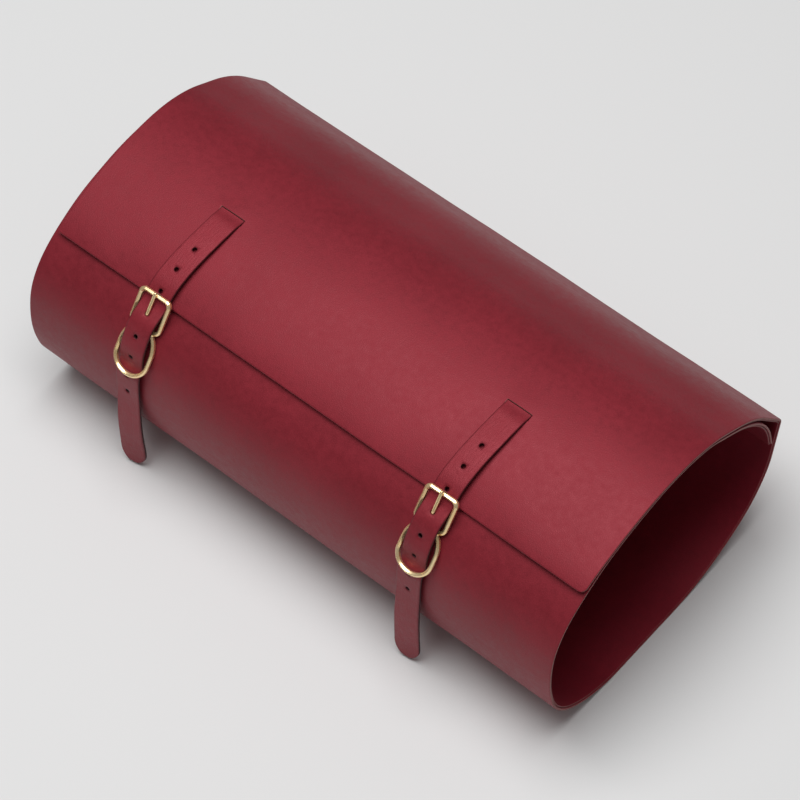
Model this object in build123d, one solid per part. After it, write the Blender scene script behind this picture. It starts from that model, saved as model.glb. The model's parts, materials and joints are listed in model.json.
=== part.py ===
"""Leather brush roll: a sheet rolled 1.4 turns, held shut by two straps with pin buckles.

Frame: X along the roll, Y from the buckled front to the crease at the back, Z up.
The section in the YZ plane is drawn about the oval's centre and moved once, at the end,
so that the origin is the centre of the bottom of the whole part's bounding box.
"""
from build123d import *
import math
import os

# ------------------------------------------------------------------ roll, mm
ROLL_LENGTH = 363.5        # along X
ROLL_WIDTH = 197.0         # outer face of the oval, front to back
ROLL_HEIGHT = 144.5        # outer face of the oval, bottom to top of the first turn
OUTER_PLY = 1.4
GLUE_LINE = 0.1
LINING_PLY = 1.0
LAP_GAP = 0.3              # between the flap and the turn that it covers
EDGE_MARGIN = 0.6          # the lining stops this far short of the outer ply's cut edge
JOIN_SHARE = 0.363         # inner end to where the flap settles, per mean diameter
JOIN_LEAD = 14.0           # straight run of the flap before it settles
FLAP_END_SHARE = 1.191     # inner end to the flap's free edge, per mean diameter
FLAP_CORNER = 4.0          # radius of the flap's two corners
CREASE_RADIUS = 6.5

# ------------------------------------------------------------------ straps
STRAP_X = (-106.2, 90.4)
STRAP_SIDES = ("left", "right")
STRAP_WIDTH = 16.0
STRAP_THICK = 1.8
ROOT_THICK = 0.8           # the strap is skived where it is trapped under the outer ply
ROOT_LENGTH = 18.0
ROOT_MARGIN = 4.0          # the root is wider than the slit by this much on each side
SLIT_ABOVE_EDGE = 60.8     # slit to the flap's edge, along the flap
SLIT_FIT = 0.2
ARCH = ((20.0, 1.4), (37.0, 2.3), (51.0, 2.9))     # past the slit: distance, rise over the flap
OVER_BAR_EASE = 0.30       # slack over the folded tab
OVER_BAR_REACH = 4.3       # the strap bends this far above and below the bar
RISE_FROM = 5.5            # past the top rail, the strap starts up towards the bar
RISE_START = 0.9
DIP_FROM = 14.6            # below the bar, the strap dips towards the loop
DIP_FROM_HEIGHT = 2.5
DIP_TO = 22.4
DIP_EASE = 0.05
LOOP_BEND = 0.8            # the strap turns down this far past the loop's middle
TAIL_EASE = 0.3
TAIL_BEND = 9.0
TAIL_LEAD = 4.0            # straight run before the hinge line
RAIL_LIFT = 2.5            # the strap stands this far off the flap under the top rail
STRAP_REST = 0.3           # strap above the leather that it lies on
HOLE_RADIUS = 1.3
HOLE_PITCH = 14.25
PRONG_HOLE_ABOVE_BAR = 9.6
HOLES_ABOVE = 3            # above the one that the prong is in
HOLES_BELOW = 3            # between the prong's and the strap's hinge line
TIP_ABOVE_TABLE = 1.8
TAIL_GAP = 0.35            # between the strap's end and the tail's round top
TIP_TAPER = 11.0

# ------------------------------------------------------------------ buckles
BAR_BELOW_EDGE = 17.4      # centre bar to the flap's edge
BAR_RADIUS = 1.25
RAIL_WIDTH = 2.2
FRAME_THICK = 2.4
FRAME_BEVEL = 0.9
SIDE_CLEARANCE = 0.6       # strap to the rails beside it
TOP_REACH = 21.8           # bar to the outside of the top rail
LOOP_REACH = 29.8          # bar to the outside of the lower loop
LOOP_WIDE_FROM = 13.0      # the lower loop is widest from here
LOOP_WIDE_TO = 19.0        # to here, below the bar
LOOP_PINCH = 2.2           # the loop's sides would meet this far above the bar
LOOP_SIDE_CLEARANCE = 1.6  # strap to the lower loop beside it
UPPER_CORNER = 3.4
WAIST_CORNER = 4.4         # the upper loop's lower corners, which turn in to the bar
WAIST_BELOW_BAR = 0.6
WAIST_FILLET = 0.6
WAIST_HALF_GAP = 5.6       # half of the opening between the rails at the bar
WAIST_HALF_SPAN = 3.6
BAR_SEAT = 1.2             # bar end inside each rail
BAR_STEP = 0.2             # the bar's ends are thinner by this, in radius
BAR_END_PLAY = 0.05
MOVE_CLEARANCE = 0.35
ROCK_ANGLE = 1.0           # how far the frame rocks about its bar

PRONG_RADIUS = 1.0
PRONG_OUT_OF_NOTCH = 0.7   # from the frame's face to the prong's middle
PRONG_RING = 1.0           # wall of the prong's eye
PRONG_RING_WIDTH = 3.0
RUNNING_FIT = 0.05
PRONG_BEND = 2.5
PRONG_RISE = 7.4           # where the prong turns up, from the bar
PRONG_PAST_RAIL = 0.3
NOTCH_FIT = 0.15
PRONG_SLOT = 4.2           # length of the prong's hole between its round ends

CHAPE_THICK = 1.0
CHAPE_LENGTH = 15.5
CHAPE_LIFT = 0.1
CHAPE_PLY_GAP = 0.1
CHAPE_SETTLE = 7.0         # below the bar, where the two plies meet
CHAPE_LEAD = 2.8           # straight runs either side of the tab's turn down
CHAPE_SIDE_FIT = 0.35
FOLD_CLEARANCE = 0.25
RIVET_BELOW_BAR = 10.5
RIVET_RADIUS = 1.4
RIVET_HEAD_RADIUS = 3.0
RIVET_HEAD = 0.5
HEAD_GAP = 0.1             # under each flat head, at the middle of the curved leather

# ------------------------------------------------------------------ brush pockets, inside
POCKET_PLY = 1.0
POCKET_START_ARC = 262.0   # from the inner end, on the outer face
POCKET_COUNT = 11
POCKET_WIDTH = 24.0
POCKET_LENGTH = 150.0
POCKET_MARGIN = 12.0
THREAD = 0.5
SEAM_MARGIN = 2.0          # the seams stop this far inside the pocket panel's edges

LEATHER = OUTER_PLY + GLUE_LINE + LINING_PLY
HALF_LENGTH = ROLL_LENGTH / 2
MEAN_DIAMETER = (ROLL_WIDTH + ROLL_HEIGHT) / 2
JOIN_ARC = JOIN_SHARE * MEAN_DIAMETER
FLAP_END_ARC = FLAP_END_SHARE * MEAN_DIAMETER
LOOP_WIDTH = STRAP_WIDTH + 2 * (RAIL_WIDTH + LOOP_SIDE_CLEARANCE)

# Corners of the outline that the outer face rounds, as shares of half the width and half
# the height, from the inner end over the top, down the front and back along the bottom.
OVAL = [
    (0.957, 0.004), (0.899, 0.326), (0.706, 0.650), (0.262, 0.982), (-0.127, 0.999),
    (-0.600, 0.825), (-0.954, 0.440), (-1.013, -0.090), (-0.908, -0.665), (-0.545, -1.0),
    (0.330, -1.0), (0.712, -0.763), (0.945, -0.425),
]
CREASE = (1.029, 0.200)
ROUNDING = 0.49            # share of the shorter run that each corner's arc may use


# ------------------------------------------------------------------ routes in the YZ plane
class Route:
    """Straight runs and tangent arcs, measured by arc length; an offset is to the right."""

    def __init__(self, start, heading, moves):
        self.pieces = []
        where = start
        for length, turn in moves:
            if length > 1e-6:
                self.pieces.append((where, heading, length, turn))
                where = Route.walk((where, heading, length, turn), length, 0.0)
                heading += turn
        self.length = sum(piece[2] for piece in self.pieces)

    @staticmethod
    def round_corners(corners, radii=None):
        """A route through the corners, each rounded as far as its two runs allow."""
        runs = list(zip(corners[:-1], corners[1:]))
        lengths = [math.dist(a, b) for a, b in runs]
        headings = [math.atan2(b[1] - a[1], b[0] - a[0]) for a, b in runs]
        moves, used = [], 0.0
        for i in range(1, len(runs)):
            turn = math.remainder(headings[i] - headings[i - 1], 2 * math.pi)
            first = lengths[i - 1] * (0.95 if i == 1 else ROUNDING)
            last = lengths[i] * (0.95 if i == len(runs) - 1 else ROUNDING)
            cut = min(first, last)
            if radii and radii.get(i):
                cut = min(cut, radii[i] * abs(math.tan(turn / 2)))
            moves.append((lengths[i - 1] - used - cut, 0.0))
            moves.append((cut / abs(math.tan(turn / 2)) * abs(turn), turn))
            used = cut
        moves.append((lengths[-1] - used, 0.0))
        return Route(corners[0], headings[0], moves)

    @staticmethod
    def walk(piece, along, offset):
        (y, z), heading, length, turn = piece
        if turn == 0.0:
            here = heading
            y, z = y + along * math.cos(heading), z + along * math.sin(heading)
        else:
            bend = turn / length
            here = heading + bend * along
            y += (math.sin(here) - math.sin(heading)) / bend
            z -= (math.cos(here) - math.cos(heading)) / bend
        return (y + offset * math.sin(here), z - offset * math.cos(here))

    def find(self, arc):
        for piece in self.pieces:
            if arc <= piece[2]:
                return piece, arc
            arc -= piece[2]
        return self.pieces[-1], self.pieces[-1][2]

    def point(self, arc, offset=0.0):
        piece, along = self.find(arc)
        return Route.walk(piece, along, offset)

    def heading(self, arc):
        piece, along = self.find(arc)
        return piece[1] + piece[3] * along / piece[2]

    def moves(self, first, last, offset=0.0):
        """The moves of this route between two arc lengths, when run at an offset."""
        out, passed = [], 0.0
        for _, _, length, turn in self.pieces:
            low, high = max(first - passed, 0.0), min(last - passed, length)
            if high - low > 1e-6:
                part = turn * (high - low) / length
                out.append(((high - low) + offset * part, part))
            passed += length
        return out

    def edges(self, first, last, offset):
        out, passed = [], 0.0
        for piece in self.pieces:
            low, high = max(first - passed, 0.0), min(last - passed, piece[2])
            if high - low > 1e-6:
                ends = [Route.walk(piece, at, offset) for at in (low, (low + high) / 2, high)]
                points = [Vector(0, y, z) for y, z in ends]
                if piece[3] == 0.0:
                    out.append(Edge.make_line(points[0], points[2]))
                else:
                    out.append(Edge.make_three_point_arc(*points))
            passed += piece[2]
        return out

    def strip(self, first, last, inner, outer, x_from, x_to):
        """A solid that follows the route between two arc lengths, two offsets and two X."""
        near = self.edges(first, last, inner)
        far = self.edges(first, last, outer)
        caps = [Edge.make_line(near[-1] @ 1, far[-1] @ 1), Edge.make_line(far[0] @ 0, near[0] @ 0)]
        face = Face(Wire(near + caps + far))
        moved = face.moved(Location((x_from, 0, 0)))
        return Solid.extrude(moved, Vector(x_to - x_from, 0, 0))


def onward(point, heading, distance):
    return (point[0] + distance * math.cos(heading), point[1] + distance * math.sin(heading))


def oval_corner(share):
    return (share[0] * ROLL_WIDTH / 2, share[1] * ROLL_HEIGHT / 2)


def sheet_route():
    """The outer face of the sheet, from its inner end to the flap's free edge."""
    crease = oval_corner(CREASE)
    turn = Route.round_corners([oval_corner(share) for share in OVAL] + [crease])
    lap = LEATHER + LAP_GAP
    settle, heading = turn.point(JOIN_ARC, lap), turn.heading(JOIN_ARC)
    lead = onward(settle, heading, -JOIN_LEAD)
    corners = [oval_corner(share) for share in OVAL] + [crease, lead, settle]
    whole = Route.round_corners(corners, {len(OVAL): CREASE_RADIUS})
    flap = turn.moves(JOIN_ARC, FLAP_END_ARC, lap)
    everything = whole.moves(0.0, whole.length) + flap
    return Route(corners[0], whole.pieces[0][1], everything)


SHEET = sheet_route()
BAR_ARC = FLAP_END_ARC + BAR_BELOW_EDGE
SLIT_ARC = SHEET.length - SLIT_ABOVE_EDGE


# ------------------------------------------------------------------ buckle's own place
# The buckle lies on the turn below the flap: "down" runs along the leather at the centre
# bar and "out" stands off it.
FOLD_RADIUS = BAR_RADIUS + FOLD_CLEARANCE + CHAPE_THICK
BAR_HEIGHT = FOLD_RADIUS + CHAPE_LIFT
DOWN_ANGLE = SHEET.heading(BAR_ARC)
FOOT = SHEET.point(BAR_ARC)


def local(down, out):
    """A place by the buckle, as a point of the YZ plane."""
    cos, sin = math.cos(DOWN_ANGLE), math.sin(DOWN_ANGLE)
    return (FOOT[0] + down * cos + out * sin, FOOT[1] + down * sin - out * cos)


def height_over_bar_foot(point):
    return (point[0] - FOOT[0]) * math.sin(DOWN_ANGLE) - (point[1] - FOOT[1]) * math.cos(DOWN_ANGLE)


RAIL_CENTRE = TOP_REACH - RAIL_WIDTH / 2
LOOP_RAIL = LOOP_REACH - RAIL_WIDTH / 2
PRONG_OVER_RAIL = FRAME_THICK / 2 + PRONG_OUT_OF_NOTCH
RAIL_OVER_FLAP_ARC = SHEET.length - (RAIL_CENTRE - BAR_BELOW_EDGE)
STRAP_UNDER_RAIL = SHEET.point(RAIL_OVER_FLAP_ARC, STRAP_REST + RAIL_LIFT + STRAP_THICK / 2)
RAIL_HEIGHT = (height_over_bar_foot(STRAP_UNDER_RAIL) + STRAP_THICK / 2
               + MOVE_CLEARANCE + FRAME_THICK / 2)
LEAN = math.asin((RAIL_HEIGHT - BAR_HEIGHT) / RAIL_CENTRE)     # top rail up, loop down


def in_frame(down, out):
    """A place in the leaning frame's own plane, measured from the bar's centre."""
    return local(down * math.cos(LEAN) + out * math.sin(LEAN),
                 BAR_HEIGHT - down * math.sin(LEAN) + out * math.cos(LEAN))


def frame_plane(x):
    """A plane at the bar's centre: its X runs across, its Y up the buckle, its Z out."""
    angle = DOWN_ANGLE + LEAN
    centre = in_frame(0.0, 0.0)
    up = Vector(0, -math.cos(angle), -math.sin(angle))
    out = Vector(0, math.sin(angle), -math.cos(angle))
    return Plane(Vector(x, *centre), x_dir=up.cross(out), z_dir=out)


# ------------------------------------------------------------------ strap's own route
LOOP_CLEARANCE = 2 * MOVE_CLEARANCE + LOOP_RAIL * math.sin(math.radians(ROCK_ANGLE))


def strap_route():
    """Centre line of the strap, from the slit to the hinge line below the loop."""
    lift = STRAP_REST + STRAP_THICK / 2
    over_bar = FOLD_RADIUS + MOVE_CLEARANCE + STRAP_THICK / 2 + OVER_BAR_EASE
    below_frame = FRAME_THICK / 2 + STRAP_THICK / 2
    under_rail = -below_frame - MOVE_CLEARANCE
    under_loop = in_frame(LOOP_RAIL + LOOP_BEND, -below_frame - LOOP_CLEARANCE)
    front = min(SHEET.point(SHEET.length * i / 500)[0] for i in range(501))
    tail_y = min(under_loop[0] - TAIL_EASE, front - STRAP_REST - STRAP_THICK / 2)
    corners = [SHEET.point(SLIT_ARC, lift)]
    corners += [SHEET.point(SLIT_ARC + along, lift + rise) for along, rise in ARCH]
    corners += [
        STRAP_UNDER_RAIL,
        in_frame(-RAIL_CENTRE + RISE_FROM, under_rail + RISE_START),
        in_frame(-OVER_BAR_REACH, over_bar),
        in_frame(OVER_BAR_REACH, over_bar),
        in_frame(DIP_FROM, DIP_FROM_HEIGHT),
        SHEET.point(BAR_ARC + DIP_TO, lift + DIP_EASE),
        under_loop,
        (tail_y, under_loop[1] - TAIL_BEND),
        (tail_y, under_loop[1] - TAIL_BEND - TAIL_LEAD),
    ]
    return Route.round_corners(corners)


STRAP = strap_route()
HINGE = STRAP.point(STRAP.length)
TAIL_LENGTH = HINGE[1] + ROLL_HEIGHT / 2 - TIP_ABOVE_TABLE


def nearest_arc(route, point):
    steps = [route.length * i / 4000 for i in range(4001)]
    return min(steps, key=lambda arc: math.dist(route.point(arc), point))


PRONG_HOLE_ARC = nearest_arc(STRAP, in_frame(-PRONG_HOLE_ABOVE_BAR, PRONG_OVER_RAIL))


def across_hole(route, arc, x, radius, stretch=0.0):
    """A round or stretched hole's cutter, square to a strap's face."""
    y, z = route.point(arc)
    heading = route.heading(arc)
    plane = Plane(Vector(x, y, z), x_dir=Vector(0, math.cos(heading), math.sin(heading)),
                  z_dir=Vector(0, math.sin(heading), -math.cos(heading)))
    depth = STRAP_THICK
    if stretch:
        outline = SlotCenterToCenter(stretch, 2 * radius)
    else:
        outline = Circle(radius)
    return extrude(plane * outline, amount=depth, both=True)


# ------------------------------------------------------------------ pieces
def flap_end(margin, inner, outer):
    """The last stretch of the flap, with its two corners rounded."""
    first, last = SHEET.length - FLAP_CORNER, SHEET.length - margin
    half = HALF_LENGTH - margin
    solid = SHEET.strip(first, last, inner, outer, -half, half)
    y, z = SHEET.point(first, (inner + outer) / 2)
    heading = SHEET.heading(first)
    for side in (-1, 1):
        plane = Plane(Vector(side * (HALF_LENGTH - FLAP_CORNER), y, z),
                      x_dir=Vector(0, math.cos(heading), math.sin(heading)),
                      z_dir=Vector(0, math.sin(heading), -math.cos(heading)))
        reach = side if plane.y_dir.X > 0 else -side
        quarter = Pos(FLAP_CORNER, reach * FLAP_CORNER) * Rectangle(2 * FLAP_CORNER,
                                                                    2 * FLAP_CORNER)
        quarter -= Circle(FLAP_CORNER - margin)
        solid -= extrude(plane * quarter, amount=2 * LEATHER, both=True)
    return solid


def sheet_ply(margin, inner, outer):
    """One ply of the sheet: square at the inner end, with rounded corners at the flap's."""
    half = HALF_LENGTH - margin
    main = SHEET.strip(margin, SHEET.length - FLAP_CORNER, inner, outer, -half, half)
    return main + flap_end(margin, inner, outer)


def rivet_axis(x):
    arc = BAR_ARC + RIVET_BELOW_BAR
    y, z = SHEET.point(arc)
    heading = SHEET.heading(arc)
    return Plane(Vector(x, y, z), z_dir=Vector(0, math.sin(heading), -math.cos(heading)))


def outer_leather():
    solid = sheet_ply(0.0, -OUTER_PLY, 0.0)
    for x in STRAP_X:
        half = STRAP_WIDTH / 2 + SLIT_FIT
        solid -= SHEET.strip(SLIT_ARC - STRAP_THICK - SLIT_FIT, SLIT_ARC + SLIT_FIT,
                             -2 * OUTER_PLY, OUTER_PLY, x - half, x + half)
        solid -= rivet_axis(x) * Cylinder(RIVET_RADIUS, 8 * OUTER_PLY)
    return solid


def lining_leather():
    inner, outer = -LEATHER, -(OUTER_PLY + GLUE_LINE)
    solid = sheet_ply(EDGE_MARGIN, inner, outer)
    for x in STRAP_X:
        half = STRAP_WIDTH / 2 + ROOT_MARGIN + SLIT_FIT
        solid -= SHEET.strip(SLIT_ARC - ROOT_LENGTH - SLIT_FIT, SLIT_ARC + SLIT_FIT,
                             inner - LINING_PLY, outer + LINING_PLY, x - half, x + half)
        solid -= rivet_axis(x) * Cylinder(RIVET_RADIUS, 8 * OUTER_PLY)
    return solid


def strap(x):
    half = STRAP_WIDTH / 2
    thick = STRAP_THICK / 2
    body = STRAP.strip(0.0, STRAP.length - thick - TAIL_GAP, -thick, thick, x - half, x + half)
    top = STRAP_REST + STRAP_THICK
    root_out = -(OUTER_PLY + GLUE_LINE)
    neck = SHEET.strip(SLIT_ARC - STRAP_THICK, SLIT_ARC, root_out - ROOT_THICK, top,
                       x - half, x + half)
    wide = half + ROOT_MARGIN
    root = SHEET.strip(SLIT_ARC - ROOT_LENGTH, SLIT_ARC, root_out - ROOT_THICK, root_out,
                       x - wide, x + wide)
    solid = body + neck + root
    for i in range(1, HOLES_ABOVE + 1):
        solid -= across_hole(STRAP, PRONG_HOLE_ARC - i * HOLE_PITCH, x, HOLE_RADIUS)
    for i in range(1, HOLES_BELOW + 1):
        solid -= across_hole(STRAP, PRONG_HOLE_ARC + i * HOLE_PITCH, x, HOLE_RADIUS)
    solid -= across_hole(STRAP, PRONG_HOLE_ARC, x, PRONG_RADIUS + MOVE_CLEARANCE, PRONG_SLOT)
    return solid


def strap_tail(x):
    """The hanging end: a round top on the hinge line, the last hole and an oval tip."""
    y, z = HINGE
    thick, half = STRAP_THICK / 2, STRAP_WIDTH / 2
    plane = Plane(Vector(x, y, z), x_dir=Vector(1, 0, 0), z_dir=Vector(0, -1, 0))
    straight = TAIL_LENGTH - TIP_TAPER
    outline = Pos(0, -straight / 2) * Rectangle(STRAP_WIDTH, straight)
    outline += Pos(0, -straight) * Ellipse(half, TIP_TAPER)
    hole_drop = PRONG_HOLE_ARC + (HOLES_BELOW + 1) * HOLE_PITCH - STRAP.length
    outline -= Pos(0, -hole_drop) * Circle(HOLE_RADIUS)
    blade = extrude(plane * outline, amount=thick, both=True)
    top = Plane(Vector(x, y, z), z_dir=Vector(1, 0, 0)) * Cylinder(thick, STRAP_WIDTH)
    return blade + top


def half_plane(down, side):
    """Everything above (side 1) or below (side -1) a line across the buckle."""
    return Pos(0, -down + side * LOOP_REACH) * Rectangle(4 * LOOP_REACH, 2 * LOOP_REACH)


def loop_outline(inset, top):
    """The lower loop: flaring from the bar, straight-sided, then round."""
    half = LOOP_WIDTH / 2 - inset
    flare = Pos(0, -LOOP_WIDE_FROM) * Ellipse(half, LOOP_WIDE_FROM + LOOP_PINCH - inset)
    round_end = Pos(0, -LOOP_WIDE_TO) * Ellipse(half, LOOP_REACH - LOOP_WIDE_TO - inset)
    straight = LOOP_WIDE_TO - LOOP_WIDE_FROM
    sides = Pos(0, -LOOP_WIDE_FROM - straight / 2) * Rectangle(2 * half, straight)
    outline = (flare & half_plane(LOOP_WIDE_FROM, 1)) + sides
    outline += round_end & half_plane(LOOP_WIDE_TO, -1)
    return outline & half_plane(top, -1)


def upper_outline(inset, bottom, lower_corner):
    """The upper loop: a rectangle with two sizes of round corner."""
    half, top = STRAP_WIDTH / 2 + SIDE_CLEARANCE + RAIL_WIDTH - inset, TOP_REACH - inset
    outline = Pos(0, (top + bottom) / 2) * Rectangle(2 * half, top - bottom)
    corners = outline.vertices().group_by(Axis.Y)
    outline = fillet(corners[-1], UPPER_CORNER - inset / 2)
    return fillet(outline.vertices().group_by(Axis.Y)[0], lower_corner)


def buckle_frame(x):
    outer = upper_outline(0.0, -WAIST_BELOW_BAR, WAIST_CORNER) + loop_outline(0.0, 0.0)
    pinched = outer.vertices().filter_by_position(Axis.Y, -WAIST_BELOW_BAR - 0.1,
                                                  -WAIST_BELOW_BAR + 0.1)
    outer = fillet(pinched, WAIST_FILLET)
    inner = upper_outline(RAIL_WIDTH, RAIL_WIDTH - WAIST_BELOW_BAR, WAIST_CORNER / 2)
    inner += loop_outline(RAIL_WIDTH, RAIL_WIDTH / 2)
    inner += Rectangle(2 * WAIST_HALF_GAP, 2 * WAIST_HALF_SPAN)
    solid = extrude(outer - inner, amount=FRAME_THICK / 2, both=True)
    upper_rim = solid.edges().group_by(Axis.Z)[-1]
    bevelled = [e for e in upper_rim if abs(abs((e @ 0.5).X) - WAIST_HALF_GAP) > 0.02]
    solid = chamfer(bevelled, FRAME_BEVEL)
    notch = Rot(90, 0, 0) * Cylinder(PRONG_RADIUS + NOTCH_FIT, 3 * RAIL_WIDTH)
    solid -= Pos(0, RAIL_CENTRE, PRONG_OVER_RAIL) * notch
    solid -= Rot(0, 90, 0) * Cylinder(BAR_RADIUS - BAR_STEP, 2 * (WAIST_HALF_GAP + BAR_SEAT))
    return frame_plane(x) * solid


def centre_bar(x):
    """A plain pin with reduced ends that sit in the two rails."""
    pin = Cylinder(BAR_RADIUS, 2 * (WAIST_HALF_GAP - BAR_END_PLAY))
    pin += Cylinder(BAR_RADIUS - BAR_STEP, 2 * (WAIST_HALF_GAP + BAR_SEAT))
    return frame_plane(x) * Rot(0, 90, 0) * pin


def prong_corners():
    """Side view of the prong in the frame's plane: along the buckle, then out of it."""
    top = PRONG_OVER_RAIL
    return [(0.0, 0.0), (PRONG_RISE, 0.0), (PRONG_RISE + top, top),
            (TOP_REACH + PRONG_PAST_RAIL, top)]


def prong(x):
    """A wire that turns up through the strap and lies in the top rail's notch."""
    line = FilletPolyline(*[(0, y, z) for y, z in prong_corners()], radius=PRONG_BEND)
    section = Plane(line @ 0, z_dir=line % 0) * Circle(PRONG_RADIUS)
    rod = sweep(section, path=line)
    end = prong_corners()[-1]
    tip = Pos(0, end[0], end[1]) * Sphere(PRONG_RADIUS)
    eye = Rot(0, 90, 0) * Cylinder(BAR_RADIUS + RUNNING_FIT + PRONG_RING, PRONG_RING_WIDTH)
    bore = Rot(0, 90, 0) * Cylinder(BAR_RADIUS + RUNNING_FIT, 2 * PRONG_RING_WIDTH)
    return frame_plane(x) * (rod + tip + eye - bore)


def chape_route():
    """Centre line of the folded tab: up the roll, round the bar and back down on itself."""
    mid = CHAPE_THICK / 2
    low, high = CHAPE_LIFT + mid, CHAPE_LIFT + 3 * mid + CHAPE_PLY_GAP
    reach = FOLD_RADIUS - mid
    end_arc, settle_arc = BAR_ARC + CHAPE_LENGTH, BAR_ARC + CHAPE_SETTLE
    going_up = [(length, -turn) for length, turn in SHEET.moves(BAR_ARC, end_arc, low)]
    settle, settled = SHEET.point(settle_arc, high), SHEET.heading(settle_arc)
    over_bar = local(0.0, BAR_HEIGHT + reach)
    coming_down = Route.round_corners([over_bar, onward(over_bar, DOWN_ANGLE, CHAPE_LEAD),
                                       onward(settle, settled, -CHAPE_LEAD), settle])
    moves = going_up[::-1] + [(math.pi * reach, math.pi)]
    moves += coming_down.moves(0.0, coming_down.length)
    moves += SHEET.moves(settle_arc, end_arc, high)
    return Route(SHEET.point(end_arc, low), SHEET.heading(end_arc) + math.pi, moves)


def chape(x):
    """A leather tab folded round the centre bar, both plies riveted to the roll."""
    half = WAIST_HALF_GAP - CHAPE_SIDE_FIT
    route = chape_route()
    solid = route.strip(0.0, route.length, -CHAPE_THICK / 2, CHAPE_THICK / 2, x - half, x + half)
    eye = BAR_RADIUS + RUNNING_FIT + PRONG_RING + MOVE_CLEARANCE
    slot = Box(PRONG_RING_WIDTH + 2 * MOVE_CLEARANCE, 4 * FOLD_RADIUS, 6 * FOLD_RADIUS)
    solid -= frame_plane(x) * Pos(0, 2 * FOLD_RADIUS - eye, 0) * slot
    return solid - rivet_axis(x) * Cylinder(RIVET_RADIUS, 12 * CHAPE_THICK)


def chape_rivet(x):
    stack = 2 * CHAPE_THICK + CHAPE_PLY_GAP + CHAPE_LIFT + HEAD_GAP
    low, high = -LEATHER - HEAD_GAP - RIVET_HEAD, stack + RIVET_HEAD
    shank = Pos(0, 0, (low + high) / 2) * Cylinder(RIVET_RADIUS, high - low)
    heads = [Pos(0, 0, at) * Cylinder(RIVET_HEAD_RADIUS, RIVET_HEAD)
             for at in (low + RIVET_HEAD / 2, high - RIVET_HEAD / 2)]
    return rivet_axis(x) * (shank + heads)


def pocket_panel():
    """The inner panel whose stitched channels hold the brushes, at the roll's left end."""
    left = -HALF_LENGTH + POCKET_MARGIN
    outer = -LEATHER - GLUE_LINE
    length = POCKET_COUNT * POCKET_WIDTH
    return SHEET.strip(POCKET_START_ARC, POCKET_START_ARC + length, outer - POCKET_PLY, outer,
                       left, left + POCKET_LENGTH)


def pocket_stitching():
    left = -HALF_LENGTH + POCKET_MARGIN
    face = -LEATHER - GLUE_LINE - POCKET_PLY
    first = POCKET_START_ARC + SEAM_MARGIN
    last = POCKET_START_ARC + POCKET_COUNT * POCKET_WIDTH - SEAM_MARGIN
    rows = []
    for i in range(POCKET_COUNT + 1):
        arc = min(max(POCKET_START_ARC + i * POCKET_WIDTH, first), last)
        rows.append(SHEET.strip(arc - THREAD / 2, arc + THREAD / 2, face - THREAD, face,
                                left + SEAM_MARGIN, left + POCKET_LENGTH - SEAM_MARGIN))
    return Compound(children=rows)


def build():
    nodes = {
        "outer_leather": outer_leather(),
        "lining_leather": lining_leather(),
        "pocket_panel": pocket_panel(),
        "pocket_stitching": pocket_stitching(),
    }
    makers = {"strap": strap, "strap_tail": strap_tail, "buckle_frame": buckle_frame,
              "centre_bar": centre_bar, "prong": prong, "chape": chape,
              "chape_rivet": chape_rivet}
    for side, x in zip(STRAP_SIDES, STRAP_X):
        for name, make in makers.items():
            nodes[name + "_" + side] = make(x)
    return nodes


NODES = build()
BOX = Compound(children=[Compound(solid.solids()) for solid in NODES.values()]).bounding_box()
SHIFT = Location((-BOX.center().X, -BOX.center().Y, -BOX.min.Z))

os.makedirs("parts", exist_ok=True)
for name, shape in NODES.items():
    solids = [SHIFT * solid for solid in shape.solids()]
    node = solids[0] if len(solids) == 1 else Compound(children=solids)
    export_step(node, os.path.join("parts", name + ".step"))


def placed(point):
    shift = SHIFT.position
    return tuple(round(v, 3) for v in (shift.Y + point[0], shift.Z + point[1]))


print("size", [round(v, 2) for v in BOX.size], "shift", [round(v, 3) for v in SHIFT.position])
print("bar centre y, z", placed(in_frame(0.0, 0.0)), "hinge y, z", placed(HINGE))
print("lean", round(math.degrees(LEAN), 2), "down", round(math.degrees(DOWN_ANGLE), 1),
      "sheet length", round(SHEET.length, 1), "strap", round(STRAP.length, 1))
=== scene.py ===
"""Looks of the leather brush roll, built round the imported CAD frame. Metres, +Z up."""

import json
import math

import bmesh
import bpy
import numpy as np
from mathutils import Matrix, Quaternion, Vector, noise

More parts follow.
